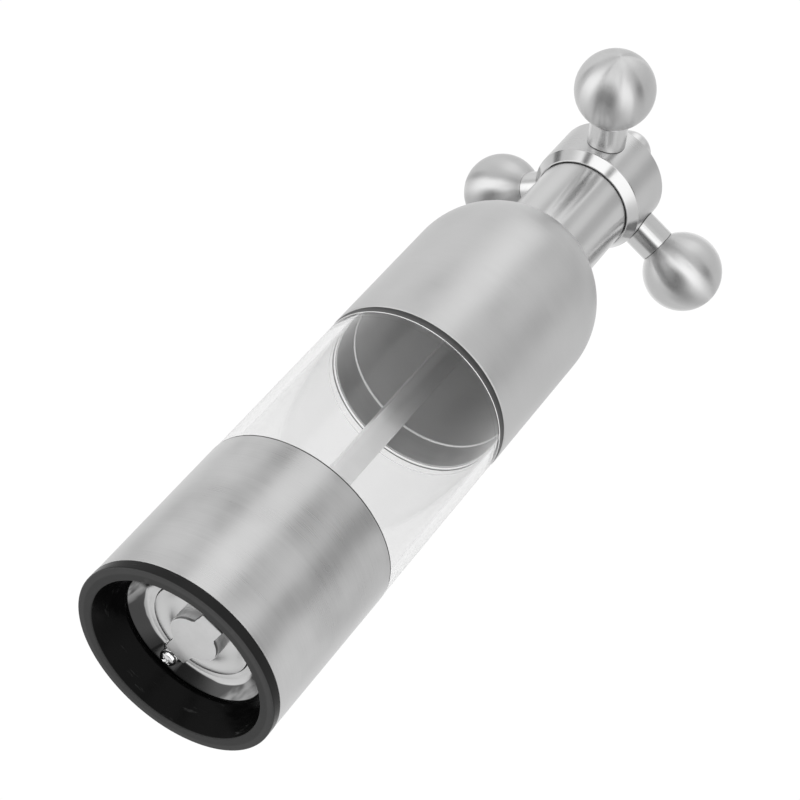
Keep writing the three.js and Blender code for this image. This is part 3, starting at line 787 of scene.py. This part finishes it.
def toothed_cone(bm, bottom, top, tip_bottom, tip_top, teeth, depth, twist):
    """Adds a closed cone with slanted saw teeth, as on the rotor."""
    levels, shares = 9, (0.0, 0.12, 0.25, 0.6, 0.9)
    rings = []
    for level in range(levels):
        t = level / (levels - 1)
        tip = tip_bottom + (tip_top - tip_bottom) * t
        ring = []
        for tooth in range(teeth):
            for share in shares:
                fall = max(0.0, share - 0.25) / 0.65
                angle = FULL_TURN * (tooth + share) / teeth + twist * t
                radius = tip - depth * fall
                z = bottom + (top - bottom) * t
                place = (radius * math.cos(angle), radius * math.sin(angle), z)
                ring.append(bm.verts.new(to_metres(place)))
        rings.append(ring)
    count = len(rings[0])
    for low, high in zip(rings, rings[1:]):
        for i in range(count):
            bm.faces.new([low[i], low[(i + 1) % count], high[(i + 1) % count], high[i]])
    bm.faces.new(rings[0][::-1])
    bm.faces.new(rings[-1])


ROTOR_FLANGE_TOP = 11.4
GRINDER_GAP = 0.14  # between the rotor's rim and the dish's hole


def rotor_burr():
    """The rotor: a hollowed bright underside that flares into the boss, and the toothed cone over it."""
    bm = bmesh.new()
    turn_mesh(bm, [
        (0, ROTOR_BOTTOM - 0.1),
        (PLATE_RADIUS - 0.4, ROTOR_BOTTOM - 0.1),
        (PLATE_RADIUS + 2.6, ROTOR_BOTTOM - 0.05, 1.8),
        (ROTOR_RADIUS - 0.9, ROTOR_BOTTOM - 0.4, 1.2),
        (DISH_HOLE_RADIUS - GRINDER_GAP, ROTOR_BOTTOM - 0.5, 0.1),
        (DISH_HOLE_RADIUS - GRINDER_GAP, ROTOR_BOTTOM + 0.4),
        (ROTOR_RADIUS, ROTOR_BOTTOM + 0.5),
        (ROTOR_RADIUS, ROTOR_FLANGE_TOP, 0.2),
        (0, ROTOR_FLANGE_TOP),
    ])
    toothed_cone(bm, ROTOR_FLANGE_TOP - 0.2, ROTOR_TOP, 10.6, 7.6, 14, 1.1, math.pi / 5)
    dress(finished_object("rotor_turned", bm), ROTOR_STEEL, "polished_steel", "spindle", "rotor_burr")


def foot_plate():
    """Disc with two lugs."""
    half_width, reach, disc = 2.85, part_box("foot_plate")[1].y / MM, PLATE_RADIUS - 0.35
    lug_root = 5.55  # where the lugs leave the disc
    lug_thickness = 1.3
    bm = bmesh.new()
    outline = []
    for side in (1, -1):
        outline += [(side * half_width, side * y) for y in (lug_root, 6.4, 7.4)]
        outline += [(side * half_width, side * (reach - 0.25)), (side * (half_width - 0.25), side * reach)]
        outline += [(side * (0.25 - half_width), side * reach), (-side * half_width, side * (reach - 0.25))]
        outline += [(-side * half_width, side * y) for y in (7.4, 6.4, lug_root)]
        start = math.degrees(math.atan2(lug_root * side, -half_width * side)) - 1.2
        stop = math.degrees(math.atan2(-lug_root * side, -half_width * side)) + 1.2
        if stop < start:
            stop += 360
        for i in range(25):
            a = math.radians(start + 3.0 + (stop - start - 6.0) * i / 24)
            outline.append((disc * math.cos(a), disc * math.sin(a)))
    prism(bm, outline, PLATE_BOTTOM, PLATE_BOTTOM + lug_thickness, edge=0.2)
    obj = finished_object("foot_plate_blank", bm)
    dress(obj, PLATE_STEEL, "plate_steel", "spindle", "foot_plate")
    boss = turned("foot_plate_boss", [
        (0, PLATE_BOTTOM + 0.6),
        (PLATE_RADIUS - 0.15, PLATE_BOTTOM + 0.6),
        (PLATE_RADIUS - 0.15, ROTOR_BOTTOM),
        (0, ROTOR_BOTTOM),
    ])
    dress(boss, BOSS_STEEL, "plate_steel", "spindle")


def burr_housing():
    pocket, shoulder = 13.3, 21.3  # of the stator burr
    throat, throat_top = 9.5, 24.3
    ledge = 34.0  # that the guide sits on
    cup, cup_top = 20.7, 16.3  # the part inside the foot ring
    obj = turned("housing_moulding", [
        (pocket, 11.1, 0.2),
        (14.6, 11.1, 0.4),
        (18.1, 9.1, 0.4),
        (cup, 9.1, 0.3),
        (cup, cup_top),
        (SPIGOT_RADIUS, cup_top, 0.2),
        (SPIGOT_RADIUS, HOUSING_TOP, 0.3),
        (GUIDE_RADIUS + 0.3, HOUSING_TOP, 0.3),
        (GUIDE_RADIUS + 0.3, ledge),
        (GUIDE_RADIUS - 1.2, ledge, 0.3),
        (throat, throat_top, 1.0),
        (throat, shoulder, 0.3),
        (pocket, shoulder),
    ])
    dress(obj, HOUSING_PLASTIC, "black_plastic", "base", "burr_housing")


def shaft_guide():
    """The bridge over the grinder: a rim and a hub, and three arms that are pieces of their own."""
    bm = bmesh.new()
    seat = 34.3
    hub_bore, hub_radius = 5.9, 8.0
    turn_mesh(bm, [
        (GUIDE_RADIUS - 1.6, seat, 0.3),
        (GUIDE_RADIUS, seat, 0.3),
        (GUIDE_RADIUS, GUIDE_TOP, 0.4),
        (GUIDE_RADIUS - 1.6, GUIDE_TOP, 0.6),
    ])
    turn_mesh(bm, [
        (hub_bore, GUIDE_BOTTOM, 0.2),
        (hub_radius, GUIDE_BOTTOM, 0.5),
        (hub_radius, GUIDE_TOP, 0.7),
        (hub_bore, GUIDE_TOP, 0.3),
    ], sides=96)
    obj = finished_object("guide_moulding", bm)
    dress(obj, HOUSING_PLASTIC, "black_plastic", "base", "shaft_guide")
    for number in range(3):
        bm = bmesh.new()
        start, end, half = 7.6, GUIDE_RADIUS - 0.8, 1.5
        prism(bm, [(start, -half), (end, -half), (end, half), (start, half)], seat, seat + 2.0, edge=0.35)
        arm = finished_object(f"guide_arm_{number + 1}", bm)
        arm.data.transform(Matrix.Rotation(math.radians(60 + 120 * number), 4, "Z"))
        dress(arm, HOUSING_PLASTIC, "black_plastic", "base")


def inner_nodes():
    """The hidden pieces keep their CAD shape, with softened edges."""
    for node, material in (
        ("stator_burr", BURR_STEEL),
        ("burr_spring", BURR_STEEL),
        ("guide_bush", BUSH_PLASTIC),
        ("drive_insert", BURR_STEEL),
    ):
        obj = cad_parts[node]
        obj.data.materials.clear()
        obj.data.materials.append(material)
        bevel = obj.modifiers.new("softened", "BEVEL")
        bevel.width = 0.15 * MM
        bevel.segments = 2
        bevel.limit_method = "ANGLE"
        bevel.angle_limit = math.radians(40)


# ---- Shaft and chamber ----

def drive_shaft():
    """Square bar with eased corners that gives way to a threaded end."""
    bm = bmesh.new()
    shoulder = 194.0
    prism(bm, rounded_square(SHAFT_HALF, 0.35), SHAFT_BOTTOM, shoulder, edge=0.3)
    pitch, outer, root = 0.8, 2.5, 2.05
    profile = [(0, shoulder - 1.0), (root, shoulder - 1.0)]
    z = shoulder
    while z < SHAFT_TOP - 1.2:
        profile += [(root, z), (outer, z + 0.4 * pitch), (outer, z + 0.5 * pitch), (root, z + 0.9 * pitch)]
        z += pitch
    profile += [(root, SHAFT_TOP - 0.4), (root - 0.4, SHAFT_TOP), (0, SHAFT_TOP)]
    turn_mesh(bm, profile, sides=48)
    dress(finished_object("square_shaft", bm), SHAFT_STEEL, "shaft_steel", "spindle", "drive_shaft")


def clear_tube():
    """The clear tube, the dark seal let into it under the bell, and the ring that the bell slides over."""
    seal_bottom = BELL_BOTTOM - SEAM - SEAL_HEIGHT
    obj = turned("acrylic_tube", [
        (TUBE_BORE, TUBE_BOTTOM, 0.2),
        (SPIGOT_RADIUS, TUBE_BOTTOM, 0.2),
        (SPIGOT_RADIUS, SLEEVE_TOP + TUBE_SEAM),
        (TUBE_RADIUS, SLEEVE_TOP + TUBE_SEAM, 0.15),
        (TUBE_RADIUS, seal_bottom - 0.04, 0.06),
        (SEAL_INNER - 0.04, seal_bottom - 0.04),
        (SEAL_INNER - 0.04, BELL_BOTTOM - SEAM),
        (TUBE_BORE, BELL_BOTTOM - SEAM, 0.06),
    ])
    dress(obj, ACRYLIC, "clear_acrylic", "base", "clear_tube")
    seal = turned("tube_seal", [
        (SEAL_INNER, seal_bottom),
        (TUBE_RADIUS - 0.02, seal_bottom, 0.08),
        (TUBE_RADIUS - 0.02, BELL_BOTTOM - 0.02, 0.05),
        (SEAL_INNER, BELL_BOTTOM - 0.02),
    ])
    dress(seal, SEAL_PLASTIC, "black_plastic", "base")
    collar = turned("tube_collar", [
        (COLLAR_BORE, BELL_BOTTOM, 0.05),
        (SPIGOT_RADIUS, BELL_BOTTOM, 0.05),
        (SPIGOT_RADIUS, TUBE_TOP, 0.3),
        (COLLAR_BORE - 0.35, TUBE_TOP, 0.25),
        (COLLAR_BORE - 0.35, TUBE_TOP - 0.45, 0.2),
        (COLLAR_BORE, TUBE_TOP - 0.8, 0.1),
    ])
    dress(collar, COLLAR_STEEL, "brushed_steel", "base")


# ---- Bell and neck ----

def dome_angle(radius, reach):
    """Where a dome of some radius comes to within reach of the axis, in degrees above the shoulder."""
    return math.degrees(math.acos(reach / radius))


def bell():
    inner = BODY_RADIUS - STEEL_WALL
    obj = turned("bell_shell", [
        (BODY_RADIUS - 0.24, BELL_BOTTOM, 0.05),
        (BODY_RADIUS, BELL_BOTTOM + 0.4, 0.1),
        *arc(BODY_RADIUS, DOME_CENTRE, 0, dome_angle(BODY_RADIUS, NECK_BORE), 48),
        *arc(inner, DOME_CENTRE, dome_angle(inner, NECK_BORE), 0, 36),
        (inner, BELL_BOTTOM, 0.25),
    ])
    dress(obj, BELL_STEEL, "brushed_steel", "bell", "bell")


def neck():
    """The neck stands on the dome with a fine seam, darkened by painted contact shadow, and leaves a dark
    gap under the head's lip.
    """
    foot = BODY_RADIUS + SEAM
    outer_foot = DOME_CENTRE + math.sqrt(foot**2 - NECK_RADIUS**2)
    inner_foot = DOME_CENTRE + math.sqrt(foot**2 - NECK_BORE**2)
    obj = turned("neck_tube", [
        (NECK_RADIUS, outer_foot, 0.08),
        (NECK_RADIUS, NECK_TOP, 0.2),
        (NECK_BORE, NECK_TOP, 0.2),
        (NECK_BORE, inner_foot),
    ])
    dress(obj, NECK_STEEL, "brushed_steel", "bell", "neck")


def neck_bush():
    radius, bore = 11.0, 9.5
    shaft_hole, throat = 4.9, 176.0
    obj = turned("neck_liner", [
        (radius, BUSH_BOTTOM, 0.3),
        (radius, NECK_TOP + SEAM),
        (NECK_RADIUS, NECK_TOP + SEAM, 0.2),
        (NECK_RADIUS, BUSH_TOP, 0.3),
        (shaft_hole, BUSH_TOP, 0.3),
        (shaft_hole, throat, 0.2),
        (bore, throat, 0.2),
        (bore, BUSH_BOTTOM, 0.2),
    ])
    dress(obj, BUSH_PLASTIC, "grey_plastic", "bell", "neck_bush")


# ---- Turning head ----

LIP_RADIUS = 13.05


def hub():
    screw_hole, pocket, pocket_top = 3.0, 8.0, 196.2  # the pocket holds the drive insert
    recess_top = 184.9  # of the recess that runs round the neck
    obj = turned("hub_turned", [
        (LIP_RADIUS, HUB_BOTTOM, 0.08),
        (LIP_RADIUS + 0.25, HUB_BOTTOM, 0.1),
        (HUB_RADIUS, HUB_BOTTOM + LIP_HEIGHT, 0.18),
        (HUB_RADIUS, HUB_TOP - 0.35, 0.12),
        (HUB_RADIUS - 0.35, HUB_TOP, 0.12),
        (screw_hole, HUB_TOP, 0.2),
        (screw_hole, pocket_top),
        (pocket, pocket_top),
        (pocket, recess_top),
        (LIP_RADIUS, recess_top),
    ])
    dress(obj, HUB_STEEL, "brushed_steel", "head", "hub")


def spoke_mesh(name, profile, angle, sides=96):
    """Turns a profile of (radius, distance from the mill's axis) round a spoke."""
    bm = bmesh.new()
    turn_mesh(bm, profile, sides)
    obj = finished_object(name, bm)
    obj.data.transform(Matrix.Rotation(math.pi / 2, 4, "Y"))
    obj.data.transform(Matrix.Translation(to_metres((0, 0, HANDLE_Z))))
    obj.data.transform(Matrix.Rotation(angle, 4, "Z"))
    return obj


def handle(number):
    """A stud and its ball. The stud's ends follow the hub and the ball, with a fine groove at the ball and
    a line of painted contact shadow round each end.
    """
    seat = BALL_DISTANCE - math.sqrt(BALL_RADIUS**2 - STUD_RADIUS**2)
    neck_groove = 0.16
    stud_start = 10.2
    angle = SPOKES[number - 1]
    stud = spoke_mesh(f"stud_bar_{number}", [
        (0, stud_start),
        (STUD_RADIUS, stud_start),
        (STUD_RADIUS, seat - 0.3, 0.1),
        (STUD_RADIUS - neck_groove, seat - 0.2),
        (STUD_RADIUS - neck_groove, seat + 0.4),
        (0, seat + 0.4),
    ], angle)
    dress(stud, STUD_STEELS[number - 1], "handle_steel", "head", f"stud_{number}")
    pole = math.degrees(math.acos((STUD_RADIUS + 0.02) / BALL_RADIUS))
    profile = [(0, seat - 0.12), (STUD_RADIUS - 0.1, seat - 0.12)]
    profile += arc(BALL_RADIUS, BALL_DISTANCE, -pole, 90, 72)[:-1]
    profile.append((0, BALL_DISTANCE + BALL_RADIUS))
    ball = spoke_mesh(f"ball_turned_{number}", profile, angle, sides=144)
    dress(ball, BALL_STEELS[number - 1], "handle_steel", "head", f"ball_{number}")


def knob():
    rise = 3.6  # of the domed top
    bore, bore_top = 2.8, 211.0
    side_top = KNOB_TOP - rise
    dome = (KNOB_RADIUS**2 + rise**2) / (2 * rise)
    start = dome_angle(dome, KNOB_RADIUS)
    obj = turned("knob_turned", [
        (0, bore_top),
        (bore, bore_top),
        (bore, KNOB_BOTTOM),
        (KNOB_RADIUS, KNOB_BOTTOM, 0.35),
        (KNOB_RADIUS, side_top - 0.6, 0.2),
        *arc(dome, KNOB_TOP - dome, start, 90, 24)[:-1],
        (0, KNOB_TOP),
    ], sides=128)
    dress(obj, KNOB_STEEL, "polished_steel", "knob", "knob")


# ---- Stage and light ----

def floor():
    """A pale floor. It is seen only from above, so that the view from under the mill stays open."""
    bm = bmesh.new()
    bmesh.ops.create_grid(bm, x_segments=1, y_segments=1, size=3.0)
    mesh = bpy.data.meshes.new("floor")
    bm.to_mesh(mesh)
    bm.free()
    obj = bpy.data.objects.new("floor", mesh)
    obj.location.z = -0.0002
    bpy.context.scene.collection.objects.link(obj)
    material, nodes = new_material("floor")
    back = nodes.new("ShaderNodeNewGeometry").outputs["Backfacing"]
    pale = nodes.new("ShaderNodeBsdfDiffuse", {"Color": (0.9, 0.9, 0.9, 1.0)}).outputs[0]
    clear = nodes.new("ShaderNodeBsdfTransparent").outputs[0]
    mix = nodes.new("ShaderNodeMixShader", {0: back, 1: pale, 2: clear})
    nodes.new("ShaderNodeOutputMaterial", {"Surface": mix.outputs[0]})
    mesh.materials.append(material)
    obj.visible_diffuse = False
    obj.visible_glossy = False
    obj.visible_transmission = False
    obj.visible_shadow = False


# Tall soft panels that stand round the mill: azimuth, half width and brightness. Azimuth 0 is the
# side that the camera looks from, and 90 is +X.
PANELS = (
    (-33, 26, 0.25),
    (-63, 15, -0.12),
    (-96, 26, 0.12),
    (-3, 18, -0.14),
    (47, 22, -0.2),
    (180, 60, 0.2),
)
# Round lights and dark spots: azimuth, elevation, radius, width of the soft edge and brightness.
SPOTS = (
    (41, 10, 5, 13, -0.7),
    (-110, 5, 3, 8, -0.6),
    (-56, -18, 2, 7, -1.3),
    (-6, -23, 2, 6, -1.1),
    (-30, -80, 20, 20, -0.7),
    (117, -42, 14, 18, -0.3),
)
LAMP_AIM = (0, 0, 110)
ROOM_LEVEL = 0.78
TABLE_LEVEL = 0.7  # how much brighter the lit table is than the room above it


def towards(azimuth, elevation):
    """Unit vector of a direction given in degrees. Azimuth 0 is -Y and 90 is +X."""
    a, e = math.radians(azimuth), math.radians(elevation)
    return Vector((math.sin(a) * math.cos(e), -math.cos(a) * math.cos(e), math.sin(e)))


def studio():
    """A white backdrop for the camera, and a soft room with a lit table for everything else."""
    world = bpy.data.worlds.new("studio")
    bpy.context.scene.world = world
    world.use_nodes = True
    nodes = Nodes(world.node_tree)
    direction = nodes.new("ShaderNodeTexCoord").outputs["Generated"]
    height = nodes.split(direction)["Z"]
    flat = nodes.vector_math("NORMALIZE", nodes.scaled(direction, (1.0, 1.0, 0.0)))[0]
    level = ROOM_LEVEL

    def facing(vector, azimuth, elevation):
        return nodes.dot(vector, towards(azimuth, elevation))

    upper = nodes.remap(height, 0.0, 0.3)
    for azimuth, half_width, strength in PANELS:
        share = facing(flat, azimuth, 0)
        strip = nodes.remap(share, math.cos(math.radians(half_width)), 1.0, 0.0, strength)
        level = nodes.add(nodes.times(strip, upper), level)
    front = nodes.remap(facing(flat, -30, 0), -0.6, 0.2)
    table = nodes.times(nodes.remap(height, -0.15, -0.3), nodes.remap(height, -0.8, -0.65))
    level = nodes.add(nodes.times(nodes.times(table, front), TABLE_LEVEL), level)
    for azimuth, elevation, full, fade, strength in SPOTS:
        low, high = math.cos(math.radians(full + fade)), math.cos(math.radians(full))
        spot = nodes.remap(facing(direction, azimuth, elevation), low, high, 0.0, strength)
        level = nodes.add(spot, level)
    level = nodes.math("MAXIMUM", level, 0.02)
    path = nodes.new("ShaderNodeLightPath").outputs
    room = nodes.new("ShaderNodeBackground", {"Color": nodes.grey(level), "Strength": 1.0})
    white = nodes.new("ShaderNodeBackground", {"Color": (1.0, 1.0, 1.0, 1.0), "Strength": 1.02})
    seen = nodes.math("MAXIMUM", path["Is Camera Ray"], path["Is Transmission Ray"])
    mix = nodes.new("ShaderNodeMixShader", {0: seen, 1: room.outputs[0], 2: white.outputs[0]})
    nodes.new("ShaderNodeOutputWorld", {"Surface": mix.outputs[0]})


def lamp(name, azimuth, elevation, distance, size, power):
    data = bpy.data.lights.new(name, "AREA")
    data.shape = "DISK"
    data.size = size
    data.energy = power
    obj = bpy.data.objects.new(name, data)
    back = towards(azimuth, elevation)
    obj.location = to_metres(LAMP_AIM) + back * distance
    obj.rotation_mode = "QUATERNION"
    obj.rotation_quaternion = (-back).to_track_quat("-Z", "Y")
    bpy.context.scene.collection.objects.link(obj)


make_camera()
foot_ring()
lower_sleeve()
retainer_dish()
dish_screws()
rotor_burr()
foot_plate()
burr_housing()
shaft_guide()
inner_nodes()
drive_shaft()
clear_tube()
bell()
neck()
neck_bush()
hub()
for spoke in range(1, BALL_COUNT + 1):
    handle(spoke)
knob()
floor()
studio()
lamp("key", -33, 42, 1.4, 1.0, 0.6)
bpy.context.scene.view_settings.view_transform = "Standard"
